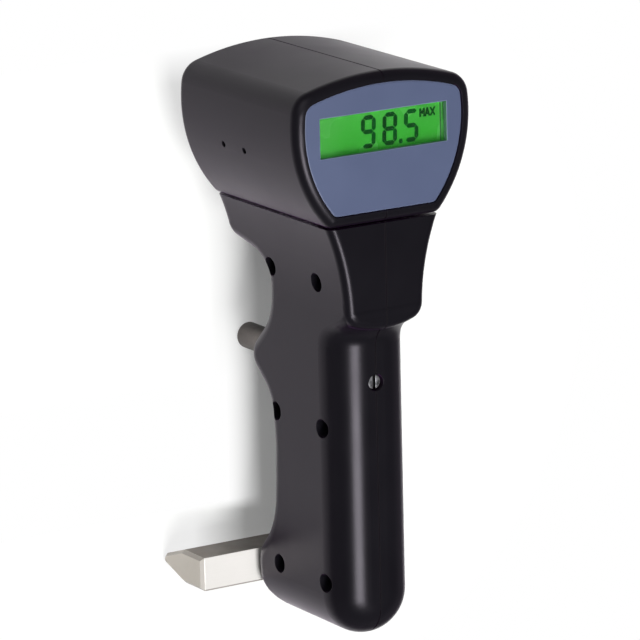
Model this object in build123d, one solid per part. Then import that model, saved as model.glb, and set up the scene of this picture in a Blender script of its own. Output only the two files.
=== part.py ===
from build123d import *
import math
import os

# Digital indentation hardness tester, in millimetres.
# Z = 0 is the work plane, through the sleeve's end face and the foot's edge.
# The indenter axis is X = Y = 0, +X runs from the tail to the head and +Z to the display.

# Fits
running_gap = 0.05
seat_gap = 0.025
free_gap = 0.3
door_gap = 0.15
hole_end_gap = 0.5

# Cuts: past a face, and past everything
overrun = 1.0
far = 200.0
near = 0.1

# Head outline, seen along Z
head_low_x = 48.3
head_length = 43.2
head_top_x = head_low_x + head_length
head_top_radius = 84.0
head_side_radius = 42.0
head_wide_drop = 14.5
head_wide_x = head_top_x - head_wide_drop
head_half = 29.4
shoulder_radius = 7.0
head_corner_radius = 3.0
head_wall = 2.2
inner_corner_radius = 2.4

# Head depth, along Z
head_rear_z = 13.8
rim_z = 78.4
rim_radius = 3.0
rear_radius = 2.5
rim_width = 3.2
panel_z = 77.8
panel_thick = 1.6
panel_gap = 0.1
panel_edge_radius = 0.5
lip_width = 1.4
lip_thick = 1.8

# Grip plan, seen along Z
grip_half = 12.95
tail_x = -76.1
flare_x = 21.0
neck_half = 18.6
grip_wall = 2.4
parting_width = 0.24
parting_depth = 0.3

# Grip front: a long rounded crest and the raised neck
crest_z = 70.9
crest_radius = 10.2
crest_end_x = 23.5
crest_depth = 26.0
neck_z = 77.4
neck_low_x = 17.2
neck_corner_x = 21.2
neck_lean = 0.25
neck_corner_radius = 5.0
neck_edge_radius = 2.5
neck_lip_reach = 1.5
neck_depth = 18.0
seam_depth = 0.8
seam_width = 0.4

# Cove between the crest and the neck: X from the neck's lip, and the shares of the whole rise
# that its sides and its top have made there
cove_steps = [
    (-8.6, -0.008, -0.016),
    (-6.2, -0.003, 0.008),
    (-3.7, 0.04, 0.11),
    (-1.7, 0.15, 0.32),
    (0.3, 0.38, 0.63),
    (2.3, 0.72, 0.91),
    (6.3, 0.995, 0.99),
]

# Grip finger side: corners of the line in X and Z, and the radius at each
neck_rear_z = head_rear_z
tail_z = 22.4
finger_corners = [
    (35.6, neck_rear_z),
    (31.0, 33.4),
    (14.6, 32.6),
    (0.7, 18.6),
    (-10.2, 31.6),
    (-22.0, 33.1),
    (-48.0, 31.9),
    (-57.4, tail_z),
    (-69.5, tail_z),
]
finger_radii = [5.5, 9.0, 15.0, 6.5, 10.0, 50.0, 22.0, 8.0, 8.0]
tail_rise = 1.2
tail_overrun = 4.0
finger_edge_radius = 4.5

# Case screws: recesses open on the +Y side
case_screw_x = (29.5, -13.5, -59.4)
case_screw_z = (36.6, 61.6)
recess_radius = 2.8
recess_floor_y = 7.4
post_radius = 3.7
case_screw_radius = 1.45
case_screw_head = (2.6, 1.6)
case_screw_tip_y = -8.0
case_screw_cross = (3.0, 1.0, 0.6)

# Neck to head screws
neck_screw_y = 9.5
neck_screw_z = (27.0, 64.0)
neck_screw_radius = 1.45
neck_screw_head = (2.5, 1.9)
neck_screw_length = 11.0
neck_post_radius = 3.4
neck_post_length = 12.0
wire_way = (6.0, 36.0, 54.0)

# Indenter, plunger and sleeve, along Z
full_travel = 0.76
tip_radius = 0.0785
tip_half_angle = 13.0
indenter_radius = 1.0
indenter_head_z = (7.0, 10.0)
stem_radius = 2.0
sleeve_radius = 3.9
sleeve_tip_radius = 3.4
sleeve_collar = (5.8, 32.2, 34.2)
sleeve_shank = (4.8, 40.0)
sleeve_step = (4.3, 20.6)
sleeve_hole_gap = 0.3
plunger_guide = (4.0, 40.6, 43.2)
plunger_flange = (5.5, 44.8)
plunger_nose = (3.0, 47.6)

# Load spring and its adjusting screw
spring_coil_radius = 4.75
spring_wire = 1.6
spring_turns = 4.0
adjuster_radius = 4.0
adjuster_reach = 0.4
adjuster_rise = 0.6
stem_sink = 1.1
stem_top_z = crest_z - stem_sink
slot_stem_radius = 2.2
slot_width = 1.0
slot_depth = 1.2
stem_chamfer = 0.3
crest_hole_radius = 2.5
crest_hole_depth = 6.0
lock_nut_flat = 12.0
lock_nut_thick = 3.0
nut_room = 7.9
column_top_z = crest_z - nut_room
adjuster_top_z = column_top_z + lock_nut_thick + adjuster_rise
column_cap = 5.4
chamber_top_z = column_top_z - column_cap

# Displacement sensor
sensor_x = 14.0
arm_thick = 2.0
spring_z = (plunger_flange[1] + arm_thick, chamber_top_z - adjuster_reach)
arm_half = 2.0
arm_boss_rim = 0.8
arm_slot_side = 0.4
arm_slot_end = 0.5
core_radius = 1.5
core_top_z = 56.0
coil_radius = 5.0
coil_bore = 2.0
coil_z = (49.0, 63.0)

# Frame
frame_half = 6.0
frame_spine_z = (case_screw_z[0] + post_radius + free_gap, chamber_top_z)
frame_end_x = -69.0
column_radius = 8.0
chamber_radius = 6.0
leg_x = (-68.0, -58.6)
leg_shoulder = (-54.0, 30.5)
leg_hole_depth = 6.0
frame_window_x = (-47.0, -36.0, -25.0)
frame_window_width = 7.0
coil_block = (21.0, 49.6, 7.0)

# Foot bar
foot_half = 31.0
foot_x = (-68.3, -58.3)
foot_flank_z = 11.0
foot_tip_radius = 1.8
foot_chamfer = 1.0
foot_flank_radius = 3.0
foot_screw_x = -63.3
foot_screw_y = 3.4
foot_screw_radius = 1.5
foot_screw_head = (2.75, 2.4)
foot_screw_z = (12.0, 39.0)
foot_screw_socket = (1.4, 1.3)

# Display
window_drop = 11.2
window_height = 11.5
window_x = (head_top_x - window_drop - window_height, head_top_x - window_drop)
window_half = 21.0
cover_margin = 1.2
cover_thick = 1.0
glass_margin = 1.6
glass_thick = 2.0
strip_width = 1.2
strip_height = 4.4
strip_overhang = 1.0
strip_edge_gap = 0.2
board_thick = 1.6
board_low_gap = 9.7
board_side_gap = 0.8
low_post_gap = 14.2
board_post_radius = 2.1
board_screw_depth = 4.0
small_screw_radius = 1.1
small_screw_head = (1.9, 1.5)

# Sensor board, upright behind the +Y side, with its two trimmers
trimmer_low_gap = 19.1
trimmer_x = head_low_x + trimmer_low_gap
sensor_board_reach = (5.9, 12.6)
sensor_board_x = (trimmer_x - sensor_board_reach[0], trimmer_x + sensor_board_reach[1])
sensor_board_z = (31.5, 58.0)
sensor_screw_inset = 3.4
sensor_screw_depth = 3.5
sensor_screw_x = sensor_board_x[1] - sensor_screw_inset
sensor_screws_z = (sensor_board_z[0] + sensor_screw_inset, sensor_board_z[1] - sensor_screw_inset)
trimmer_gap = 0.4
trimmer_z = (37.2, 48.5)
trimmer_half = 2.6
trimmer_height = 3.2
rotor_radius = 1.6
rotor_height = 1.4
rotor_sunk = 0.8
rotor_slot = (0.5, 0.6)
access_radius = 0.95

# Battery bay at the head's rear
cell_radius = 5.25
cell_length = 44.5
cell_low_gap = 16.5
cell_pitch = 11.8
cell_x = (head_low_x + cell_low_gap, head_low_x + cell_low_gap + cell_pitch)
cell_z = 21.7
cell_nub = (1.9, 1.0)
contact_thick = 0.5
contact_half = 3.8
holder_wall = 1.4
holder_gap = 0.25
door_low_gap = 11.3
door_low_x = head_low_x + door_low_gap
door_side = 2.8
tongue = (0.9, 0.8)
door_groove = (0.8, 14.0, 0.5)
door_groove_start = 5.0
door_groove_pitch = 1.8
door_groove_count = 5


def block(x, y, z):
    """Box between a low and a high limit on each axis."""
    box = Box(x[1] - x[0], y[1] - y[0], z[1] - z[0])
    return Pos((x[0] + x[1]) / 2, (y[0] + y[1]) / 2, (z[0] + z[1]) / 2) * box


def rod(axis, radius, low, high, at=(0.0, 0.0)):
    """Round bar along one axis from low to high; at holds its other two coordinates."""
    bar = Cylinder(radius, high - low)
    middle = (low + high) / 2
    if axis == "X":
        return Pos(middle, at[0], at[1]) * Rot(0, 90, 0) * bar
    if axis == "Y":
        return Pos(at[0], middle, at[1]) * Rot(90, 0, 0) * bar
    return Pos(at[0], at[1], middle) * bar


def side_half(shape, sign):
    """The part of a shape on the +Y side (sign 1) or on the -Y side (sign -1)."""
    limits = (0.0, far) if sign > 0 else (-far, 0.0)
    return shape & block((-far, far), limits, (-far, far))


def parting_slab():
    """Thin slab along the plane where the two halves of the case meet."""
    half = parting_width / 2
    return block((-far, far), (-half, half), (-far, far))


def case_screw_places():
    """X and Z of the six case screws."""
    return [(x, z) for x in case_screw_x for z in case_screw_z]


# Head

def head_side_y(x, inset=0.0):
    """Half width of the head at X by its side arc, drawn inwards by inset."""
    radius = head_side_radius - inset
    return head_half - head_side_radius + math.sqrt(radius**2 - (x - head_wide_x) ** 2)


def head_top_y(x, inset):
    """Half width of the head at X by its top arc, drawn inwards by inset."""
    radius = head_top_radius - inset
    return math.sqrt(radius**2 - (x - head_top_x + head_top_radius) ** 2)


def shoulder_point(top_radius, side_radius):
    """Where the top arc and the +Y side arc of the head outline meet."""
    top_x = head_top_x - head_top_radius
    side_y = head_half - head_side_radius
    span = math.hypot(head_wide_x - top_x, side_y)
    along = (top_radius**2 - side_radius**2 + span**2) / (2 * span)
    across = math.sqrt(top_radius**2 - along**2)
    way = ((head_wide_x - top_x) / span, side_y / span)
    return (top_x + along * way[0] - across * way[1], along * way[1] + across * way[0])


def head_plan(inset=0.0):
    """Head outline in plan, drawn inwards by inset."""
    top_radius = head_top_radius - inset
    side_radius = head_side_radius - inset
    low_x = head_low_x + inset
    high = shoulder_point(top_radius, side_radius)
    low = (low_x, head_side_y(low_x, inset))
    flank_x = (high[0] + low[0]) / 2
    flank = (flank_x, head_side_y(flank_x, inset))
    curves = [ThreePointArc((high[0], -high[1]), (head_top_x - inset, 0), high)]
    curves.append(ThreePointArc(high, flank, low))
    curves.append(Line(low, (low[0], -low[1])))
    curves.append(ThreePointArc((low[0], -low[1]), (flank[0], -flank[1]), (high[0], -high[1])))
    plan = make_face([c.edge() for c in curves])
    plan = fillet(plan.vertices().group_by(Axis.X)[-1], shoulder_radius - inset)
    corner_radius = max(head_corner_radius - inset, inner_corner_radius)
    return fillet(plan.vertices().group_by(Axis.X)[0], corner_radius)


def head_slice(inset, low, high):
    """Prism of the head outline between two heights."""
    return extrude(Pos(0, 0, low) * head_plan(inset), high - low)


def head_block(inset=0.0):
    """Outside of the head, with its rounded rim and rear edge."""
    body = head_slice(inset, head_rear_z + inset, rim_z - inset)
    body = fillet(body.faces().sort_by(Axis.Z)[-1].edges(), rim_radius - inset)
    return fillet(body.faces().sort_by(Axis.Z)[0].edges(), rear_radius - inset)


def door_zone(gap):
    """Space of the battery door in the rear wall, with its side tongues."""
    high = head_rear_z + head_wall
    half = head_side_y(door_low_x) - door_side + gap
    low_x = door_low_x - gap
    end = head_top_x + overrun
    middle = head_rear_z + head_wall / 2
    plate = block((low_x, end), (-half, half), (head_rear_z - overrun, high))
    reach = half + tongue[0]
    thick = tongue[1] / 2 + gap
    return plate + block((low_x, end), (-reach, reach), (middle - thick, middle + thick))


def panel_seat_z():
    """Height of the ledge on which the face panel lies."""
    return panel_z - panel_thick


def board_top_z():
    """Height of the display board's upper face."""
    return panel_seat_z() - cover_thick - glass_thick - strip_height


def board_screw_places():
    """X and Y of the four board screws, under the lip's inner edge."""
    inset = rim_width + lip_width
    low_x = head_low_x + low_post_gap
    high_x = window_x[1] + glass_margin + board_post_radius + free_gap
    low_y = head_side_y(low_x, inset)
    high_y = min(head_side_y(high_x, inset), head_top_y(high_x, inset))
    return [(low_x, low_y), (low_x, -low_y), (high_x, high_y), (high_x, -high_y)]


def sensor_board_y():
    """Outer face of the upright board, set back from the wall by the trimmers."""
    return head_side_y(trimmer_x - trimmer_half, head_wall) - trimmer_gap - trimmer_height


def head_posts():
    """Screw posts in the head: four down from the lip and two in from the side."""
    lip_z = panel_seat_z() - lip_thick
    posts = [rod("Z", board_post_radius, board_top_z(), lip_z, place) for place in board_screw_places()]
    for z in sensor_screws_z:
        posts.append(rod("Y", board_post_radius, sensor_board_y(), head_half, (sensor_screw_x, z)))
    return posts


def head_screw_holes():
    """Blind holes in the head's posts."""
    radius = small_screw_radius + seat_gap
    depth = board_screw_depth + hole_end_gap
    low = board_top_z()
    holes = [rod("Z", radius, low - overrun, low + depth, place) for place in board_screw_places()]
    low = sensor_board_y()
    depth = sensor_screw_depth + hole_end_gap
    for z in sensor_screws_z:
        holes.append(rod("Y", radius, low - overrun, low + depth, (sensor_screw_x, z)))
    return holes


def head_shell():
    """Both head halves in one, hollow, with posts and openings."""
    outside = head_block()
    lip_z = panel_seat_z() - lip_thick
    shell = outside - head_slice(head_wall, head_rear_z + head_wall, lip_z)
    shell -= head_slice(rim_width + lip_width, lip_z - overrun, rim_z)
    shell -= head_slice(rim_width, panel_seat_z(), rim_z + overrun)
    for post in head_posts():
        shell += post & outside
    for hole in head_screw_holes():
        shell -= hole
    for z in trimmer_z:
        shell -= rod("Y", access_radius, sensor_board_y(), far, (trimmer_x, z))
    shell -= door_zone(door_gap)
    shell -= parting_slab() - head_block(parting_depth)
    low, high = head_low_x - overrun, head_low_x + head_wall + free_gap
    shell -= block((low, high), (-wire_way[0], wire_way[0]), wire_way[1:])
    for sign in (1, -1):
        for z in neck_screw_z:
            shell -= rod("X", neck_screw_radius + running_gap, low, high, (sign * neck_screw_y, z))
    return shell


def battery_door():
    """Rear door that slides off over the head's top, cut to the head's outside."""
    door = head_block() & door_zone(0.0)
    width, length, depth = door_groove
    for step in range(door_groove_count):
        x = door_low_x + door_groove_start + door_groove_pitch * step
        door -= block((x, x + width), (-length / 2, length / 2), (0.0, head_rear_z + depth))
    return door


# Grip

def grip_plan(inset=0.0):
    """Plan of the grip and neck, with its rounded tail and flared top."""
    centre_x = tail_x + grip_half
    curves = []
    for sign in (1, -1):
        start = (flare_x, sign * grip_half)
        curves.append(TangentArc(start, (head_low_x, sign * neck_half), tangent=(1, 0)))
        curves.append(Line((centre_x, sign * grip_half), start))
    tail = ThreePointArc((centre_x, grip_half), (tail_x, 0), (centre_x, -grip_half))
    top = Line((head_low_x, neck_half), (head_low_x, -neck_half))
    plan = make_face([c.edge() for c in curves] + [tail.edge(), top.edge()])
    return offset(plan, amount=-inset) if inset else plan


def finger_profile(inset=0.0):
    """Side view of the grip below its crest, with the finger scallops."""
    top_z = crest_z - crest_radius
    far_x = tail_x - tail_overrun
    far_z = tail_z + tail_rise * (finger_corners[-1][0] - far_x)
    line = [(head_low_x, neck_rear_z)] + finger_corners + [(far_x, far_z)]
    scallops = FilletPolyline([(x, 0, z) for x, z in line], radius=finger_radii)
    ends = [(far_x, far_z), (far_x, top_z), (head_low_x, top_z), (head_low_x, neck_rear_z)]
    face = make_face(scallops.edges() + Polyline([(x, 0, z) for x, z in ends]).edges())
    return offset(face, amount=-inset) if inset else face


def on_finger_edge(edge):
    """Whether an edge of the grip core runs along the finger side's rim."""
    middle = edge.position_at(0.5)
    if middle.Z > crest_z - crest_radius - near or middle.X > head_low_x - near:
        return False
    if edge.geom_type == GeomType.LINE and abs(edge.tangent_at(0.5).Z) > 0.99:
        return False
    return abs(middle.Y) > near or middle.X < tail_x + near


def grip_core(inset=0.0):
    """Grip below the crest rounding."""
    tall = extrude(grip_plan(inset), rim_z)
    wide = extrude(finger_profile(inset), far, dir=(0, 1, 0), both=True)
    core = tall & wide
    if inset:
        return core
    return fillet(core.edges().filter_by(on_finger_edge), finger_edge_radius)


def grip_crest(inset=0.0):
    """Long rounded crest with a domed end at the tail and under the neck."""
    length = crest_end_x - tail_x - 2 * grip_half
    bar = SlotCenterToCenter(length, 2 * (grip_half - inset))
    low = crest_z - crest_depth
    middle = (crest_end_x + tail_x) / 2
    body = extrude(Pos(middle, 0, low) * bar, crest_z - inset - low)
    return fillet(body.faces().sort_by(Axis.Z)[-1].edges(), crest_radius - inset)


def neck_front(inset=0.0):
    """Raised neck with a bowed lower lip that leans back to the crest."""
    half = grip_half + neck_lip_reach
    low_x, corner_x = neck_low_x + inset, neck_corner_x + inset
    lip = ThreePointArc((corner_x, -half), (low_x, 0), (corner_x, half))
    far_x = head_low_x + head_length
    rest = Polyline((corner_x, half), (far_x, 2 * half), (far_x, -2 * half), (corner_x, -half))
    front = neck_z - inset
    face = Pos(0, 0, front) * make_face(lip.edges() + rest.edges())
    lean = (-neck_lean, 0, -1)
    depth = (front - crest_z + neck_depth) * math.hypot(neck_lean, 1)
    body = extrude(face, depth, dir=lean) & extrude(grip_plan(inset), rim_z)
    if inset:
        return body
    corners = [e for e in body.edges() if on_neck_corner(e)]
    body = fillet(corners, neck_corner_radius)
    front_face = body.faces().sort_by(Axis.Z)[-1]
    rim = [e for e in front_face.edges() if e.position_at(0.5).X < head_low_x - near]
    return fillet(rim, neck_edge_radius)


def cove_section(x, side, top, half):
    """Cross-section of the cove at X: sides up to a height, rounded over into its top."""
    low = crest_z - crest_depth
    radius = top - side
    bulge = radius * (1 - math.sqrt(0.5))
    edges = [Line((x, half - radius, top), (x, radius - half, top)).edge()]
    for sign in (1, -1):
        start, end = (x, sign * half, side), (x, sign * (half - radius), top)
        edges.append(ThreePointArc(start, (x, sign * (half - bulge), top - bulge), end).edge())
    rest = Polyline((x, half, side), (x, half, low), (x, -half, low), (x, -half, side))
    return make_face(edges + rest.edges())


def neck_cove(inset=0.0):
    """Hollow curve by which the crest's top and sides rise to the neck."""
    side_z = crest_z - crest_radius
    side_rise = neck_z - neck_edge_radius - side_z
    sections = []
    for way, side_share, top_share in cove_steps:
        side = side_z + side_share * side_rise
        top = crest_z + top_share * (neck_z - crest_z) - inset
        sections.append(cove_section(neck_low_x + way, side, top, grip_half - inset))
    return loft(sections)


def on_neck_corner(edge):
    """Whether an edge is one of the two lower corners of the neck."""
    middle = edge.position_at(0.5)
    steep = abs(edge.tangent_at(0.5).Z) > 0.5
    return steep and abs(middle.Y) > grip_half - 3 * near and middle.X < flare_x


def grip_posts():
    """Screw posts left standing in the grip: six across it and four under the head."""
    posts = [rod("Y", post_radius, -neck_half, neck_half, place) for place in case_screw_places()]
    for sign in (1, -1):
        for z in neck_screw_z:
            at = (sign * neck_screw_y, z)
            posts.append(rod("X", neck_post_radius, head_low_x - neck_post_length, head_low_x, at))
    return posts


def grip_shell():
    """Both grip halves in one, hollow, with posts, recesses and openings."""
    shell = grip_core() + grip_crest() + neck_front() + neck_cove()
    groove = shell & parting_slab()
    for form in (grip_core, grip_crest, neck_front, neck_cove):
        groove -= form(parting_depth)
    shell -= groove
    for form in (grip_core, neck_front, grip_crest):
        shell -= form(grip_wall) - grip_posts()
    seam = extrude(grip_plan(), rim_z) - extrude(grip_plan(seam_depth), rim_z)
    shell -= seam & block((head_low_x - seam_width, head_low_x + overrun), (-far, far), (0, rim_z))
    return shell - grip_openings()


def grip_openings():
    """Everything cut through the grip: recesses, screw holes, sleeve, leg and crest holes."""
    cuts = rod("Z", sleeve_step[0] + sleeve_hole_gap, 0.0, sleeve_collar[1])
    cuts += rod("Z", crest_hole_radius, crest_z - crest_hole_depth, crest_z + overrun)
    leg = (leg_x[0] - free_gap, leg_x[1] + free_gap)
    half = frame_half + free_gap
    cuts += block(leg, (-half, half), (tail_z - overrun, tail_z + leg_hole_depth))
    for x, z in case_screw_places():
        cuts += rod("Y", recess_radius, recess_floor_y, neck_half, (x, z))
        cuts += rod("Y", case_screw_radius + running_gap, case_screw_tip_y - overrun, neck_half, (x, z))
    leg_post = (case_screw_x[2], case_screw_z[0])
    cuts += rod("Y", post_radius + free_gap, -frame_half, frame_half, leg_post)
    low, high = head_low_x - grip_wall - free_gap, head_low_x + overrun
    cuts += block((low, high), (-wire_way[0], wire_way[0]), wire_way[1:])
    low = head_low_x + head_wall - neck_screw_length - hole_end_gap
    for sign in (1, -1):
        for z in neck_screw_z:
            at = (sign * neck_screw_y, z)
            cuts += rod("X", neck_screw_radius + running_gap, low, high, at)
    return cuts


# Frame, foot and load train

def frame():
    """Metal frame: column over the sleeve, spine to the tail, leg to the foot, coil block."""
    low, high = frame_spine_z
    spine = block((frame_end_x, 0.0), (-frame_half, frame_half), frame_spine_z)
    shoulder_x = (frame_end_x, leg_shoulder[0])
    shoulder = block(shoulder_x, (-frame_half, frame_half), (leg_shoulder[1], high))
    leg = block(leg_x, (-frame_half, frame_half), (tail_z, high))
    body = spine + shoulder + leg
    for x in frame_window_x:
        window = SlotOverall(high - low - frame_window_width, frame_window_width, rotation=90)
        body -= extrude(Plane.XZ * Pos(x, (low + high) / 2) * window, far, both=True)
    reach, block_low, block_half = coil_block
    body += block((0.0, reach), (-block_half, block_half), (block_low, high))
    body += rod("Z", column_radius, sleeve_collar[2], column_top_z)
    body -= rod("Z", sleeve_shank[0] + seat_gap, sleeve_collar[2], sleeve_shank[1] + free_gap)
    body -= rod("Z", plunger_guide[0] + running_gap, sleeve_shank[1], plunger_guide[2])
    body -= rod("Z", chamber_radius, plunger_guide[2] - running_gap, chamber_top_z)
    body -= rod("Z", adjuster_radius + running_gap, chamber_top_z, column_top_z)
    arm_low = plunger_flange[1] - arm_slot_end
    arm_high = plunger_flange[1] + arm_thick + full_travel + arm_slot_end
    half = arm_half + arm_slot_side
    body -= block((0.0, column_radius + overrun), (-half, half), (arm_low, arm_high))
    body -= rod("Z", coil_radius + seat_gap, block_low - overrun, high + overrun, (sensor_x, 0))
    hole = case_screw_radius + running_gap
    body -= rod("Y", hole, -far, far, (case_screw_x[2], case_screw_z[0]))
    for sign in (1, -1):
        at = (foot_screw_x, sign * foot_screw_y)
        body -= rod("Z", foot_screw_radius + running_gap, tail_z - overrun, high, at)
        body -= rod("Z", foot_screw_head[0] + seat_gap, foot_screw_z[1], high + overrun, at)
    return body


def foot_bar():
    """Transverse foot with a wedge that ends in a rounded edge on the work plane."""
    middle = (foot_x[0] + foot_x[1]) / 2
    low, high = foot_x
    corners = [(middle, -foot_tip_drop()), (high, foot_flank_z), (high, tail_z)]
    corners += [(low, tail_z), (low, foot_flank_z)]
    radii = [foot_tip_radius, foot_flank_radius, 0.0, 0.0, foot_flank_radius]
    wedge = FilletPolyline([(x, 0, z) for x, z in corners], radius=radii, close=True)
    bar = extrude(make_face(wedge.edges()), foot_half, dir=(0, 1, 0), both=True)
    ends = bar.faces().sort_by(Axis.Y)
    bar = chamfer(ends[0].edges() + ends[-1].edges(), foot_chamfer)
    for sign in (1, -1):
        at = (foot_screw_x, sign * foot_screw_y)
        bar -= rod("Z", foot_screw_radius + seat_gap, foot_screw_z[0] - hole_end_gap, tail_z, at)
    return bar


def foot_tip_drop():
    """Depth of the wedge's sharp corner below its rounded edge."""
    half = (foot_x[1] - foot_x[0]) / 2
    drop = 0.0
    for turn in range(20):
        slope = math.atan(half / (foot_flank_z + drop))
        drop = foot_tip_radius * (1 / math.sin(slope) - 1)
    return drop


def foot_screws():
    """Two screws down through the frame's leg into the foot."""
    group = []
    radius, height = foot_screw_head
    low, seat = foot_screw_z
    for sign in (1, -1):
        at = (foot_screw_x, sign * foot_screw_y)
        screw = rod("Z", foot_screw_radius, low, seat, at) + rod("Z", radius, seat, seat + height, at)
        across, depth = foot_screw_socket
        socket = Pos(at[0], at[1], seat + height - depth) * RegularPolygon(across, 6)
        group.append(screw - extrude(socket, depth + overrun))
    return Compound(children=group)


def point_sleeve():
    """Hollow sleeve that stands on the work around the indenter."""
    radius, low, high = sleeve_collar
    shank, top = sleeve_shank
    step, step_z = sleeve_step
    body = rod("Z", sleeve_radius, 0.0, step_z)
    body = chamfer(body.faces().sort_by(Axis.Z)[0].edges(), sleeve_radius - sleeve_tip_radius)
    body += rod("Z", step, step_z, low)
    body += rod("Z", radius, low, high)
    body += rod("Z", shank, high, top)
    body -= rod("Z", indenter_radius + running_gap, -overrun, top)
    bore_low = indenter_head_z[0] - free_gap
    return body - rod("Z", stem_radius + running_gap, bore_low, top + overrun)


def indenter():
    """Hardened cone with a small flat tip, and its shouldered shank."""
    low, high = indenter_head_z
    cone_top = (indenter_radius - tip_radius) / math.tan(math.radians(tip_half_angle)) - full_travel
    section = Polyline(
        (0, 0, -full_travel),
        (tip_radius, 0, -full_travel),
        (indenter_radius, 0, cone_top),
        (indenter_radius, 0, low),
        (stem_radius, 0, low),
        (stem_radius, 0, high),
        (0, 0, high),
        close=True,
    )
    return revolve(make_face(section.edges()), Axis.Z)


def plunger():
    """Stem that presses on the indenter, with its guide, flange and spring nose."""
    guide, low, high = plunger_guide
    body = rod("Z", stem_radius, indenter_head_z[1], low)
    body += rod("Z", guide, low, high)
    body += rod("Z", plunger_flange[0], high, plunger_flange[1])
    return body + rod("Z", plunger_nose[0], plunger_flange[1], plunger_nose[1])


def spring_path():
    """Helix along the middle of the load spring's wire."""
    low = spring_z[0] + spring_wire / 2
    return Helix(spring_pitch(), spring_pitch() * spring_turns, spring_coil_radius, center=(0, 0, low))


def spring_pitch():
    """Rise of the load spring's wire in one turn."""
    return (spring_z[1] - spring_z[0] - spring_wire) / spring_turns


def load_spring():
    """Round-wire compression spring between the sensor arm and the adjusting screw."""
    path = spring_path()
    start = Plane(path.position_at(0), z_dir=path.tangent_at(0))
    print("load_spring least gap between turns", round(spring_pitch() - spring_wire, 2))
    return sweep(start * Circle(spring_wire / 2), path, is_frenet=True)


def load_adjusting_screw():
    """Plug that presses on the spring, with a slotted stem up to the crest."""
    body = rod("Z", adjuster_radius, spring_z[1], adjuster_top_z)
    body += rod("Z", slot_stem_radius, adjuster_top_z, stem_top_z)
    body = chamfer(body.faces().sort_by(Axis.Z)[-1].edges(), stem_chamfer)
    half = slot_width / 2
    reach = slot_stem_radius + overrun
    return body - block((-reach, reach), (-half, half), (stem_top_z - slot_depth, stem_top_z + overrun))


def lock_nut():
    """Hexagon nut that locks the adjusting screw on top of the column."""
    hexagon = RegularPolygon(lock_nut_flat / 2, 6, major_radius=False)
    nut = extrude(Pos(0, 0, column_top_z) * hexagon, lock_nut_thick)
    return nut - rod("Z", adjuster_radius + running_gap, column_top_z, column_top_z + lock_nut_thick)


def sensor_arm():
    """Flat arm under the spring that carries the sensor core."""
    low = plunger_flange[1]
    high = low + arm_thick
    arm = rod("Z", plunger_flange[0], low, high)
    arm += block((0.0, sensor_x), (-arm_half, arm_half), (low, high))
    arm += rod("Z", arm_half + arm_boss_rim, low, high, (sensor_x, 0))
    arm -= rod("Z", plunger_nose[0] + seat_gap, low, high)
    return arm - rod("Z", core_radius + seat_gap, low, high, (sensor_x, 0))


def sensor_core():
    """Rod that moves in the coil."""
    return rod("Z", core_radius, plunger_flange[1], core_top_z, (sensor_x, 0))


def sensor_coil():
    """Coil in its round can, held in the frame's block."""
    low, high = coil_z
    body = rod("Z", coil_radius, low, high, (sensor_x, 0))
    return body - rod("Z", coil_bore, low, high, (sensor_x, 0))


# Display

def face_panel():
    """Panel in the head's rim, with the display window."""
    panel = head_slice(rim_width + panel_gap, panel_seat_z(), panel_z)
    panel = fillet(panel.faces().sort_by(Axis.Z)[-1].edges(), panel_edge_radius)
    return panel - block(window_x, (-window_half, window_half), (0.0, rim_z))


def display_plate(margin, low, thick):
    """Rectangular plate behind the display window."""
    x = (window_x[0] - margin, window_x[1] + margin)
    half = window_half + margin
    return block(x, (-half, half), (low, low + thick))


def display_window():
    """Clear cover behind the panel."""
    return display_plate(cover_margin, panel_seat_z() - cover_thick, cover_thick)


def lcd_glass():
    """Display glass behind the cover."""
    return display_plate(glass_margin, panel_seat_z() - cover_thick - glass_thick, glass_thick)


def lcd_connectors():
    """Two contact strips between the glass and the board."""
    low = board_top_z()
    half = window_half + strip_overhang
    inset = glass_margin - strip_edge_gap
    strips = []
    for edge in (window_x[0] - inset, window_x[1] + inset - strip_width):
        strips.append(block((edge, edge + strip_width), (-half, half), (low, low + strip_height)))
    return Compound(children=strips)


def lcd_backlight():
    """Light guide between the strips, on the board."""
    return display_plate(-strip_edge_gap, board_top_z(), strip_height - free_gap)


def display_board():
    """Circuit board behind the display, cut to the head's inside."""
    high = board_top_z()
    board = head_slice(head_wall + board_side_gap, high - board_thick, high)
    board &= block((head_low_x + board_low_gap, far), (-far, far), (0, rim_z))
    for place in board_screw_places():
        board -= rod("Z", small_screw_radius + running_gap, 0.0, rim_z, place)
    return board


def small_screw(axis, seat, length, at):
    """Small cheese-head screw that points along +axis, with its head under the seat."""
    radius, height = small_screw_head
    shank = rod(axis, small_screw_radius, seat, seat + length, at)
    return shank + rod(axis, radius, seat - height, seat, at)


def display_board_screws():
    """Four screws up through the board into the head's posts."""
    seat = board_top_z() - board_thick
    length = board_thick + board_screw_depth
    return Compound(children=[small_screw("Z", seat, length, place) for place in board_screw_places()])


def sensor_board():
    """Upright board behind the access holes."""
    board = block(sensor_board_x, (sensor_board_y() - board_thick, sensor_board_y()), sensor_board_z)
    for z in sensor_screws_z:
        board -= rod("Y", small_screw_radius + running_gap, 0.0, head_half, (sensor_screw_x, z))
    return board


def sensor_board_screws():
    """Two screws through the upright board into the head's posts."""
    seat = sensor_board_y() - board_thick
    length = board_thick + sensor_screw_depth
    return Compound(children=[small_screw("Y", seat, length, (sensor_screw_x, z)) for z in sensor_screws_z])


def trimmer_bodies():
    """Two square trimmer bodies on the upright board."""
    group = []
    low, high = sensor_board_y(), sensor_board_y() + trimmer_height
    x = (trimmer_x - trimmer_half, trimmer_x + trimmer_half)
    for z in trimmer_z:
        body = block(x, (low, high), (z - trimmer_half, z + trimmer_half))
        floor = high - rotor_sunk - running_gap
        group.append(body - rod("Y", rotor_radius + running_gap, floor, head_half, (trimmer_x, z)))
    return Compound(children=group)


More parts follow.
